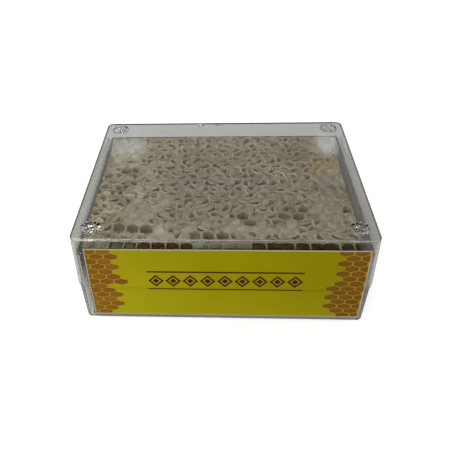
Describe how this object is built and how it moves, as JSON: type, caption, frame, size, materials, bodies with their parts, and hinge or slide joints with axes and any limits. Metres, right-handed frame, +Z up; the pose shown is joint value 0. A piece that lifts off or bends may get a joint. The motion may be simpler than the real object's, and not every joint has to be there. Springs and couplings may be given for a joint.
{
  "type": "box of comb honey",
  "caption": "Block of comb honey in a shut clear box: a shallow tray, a lid with corner stacking rings and a paper label stuck over the front of both.",
  "frame": {"origin": "on the ground, under the middle of the box", "axes": "+X along the box's long side, +Y to the back, away from the labelled side, +Z up"},
  "size_m": [0.11, 0.0886, 0.0423],
  "materials": {
    "clear_plastic": "clear, polished",
    "comb_wax": "pale beeswax over brown honey, waxy and wet in the open cells",
    "label_paper": "coated paper, slightly glossy"
  },
  "bodies": {
    "root": {"base_tray": "clear_plastic", "lid": "clear_plastic", "comb": "comb_wax", "label": "label_paper"}
  },
  "joints": []
}
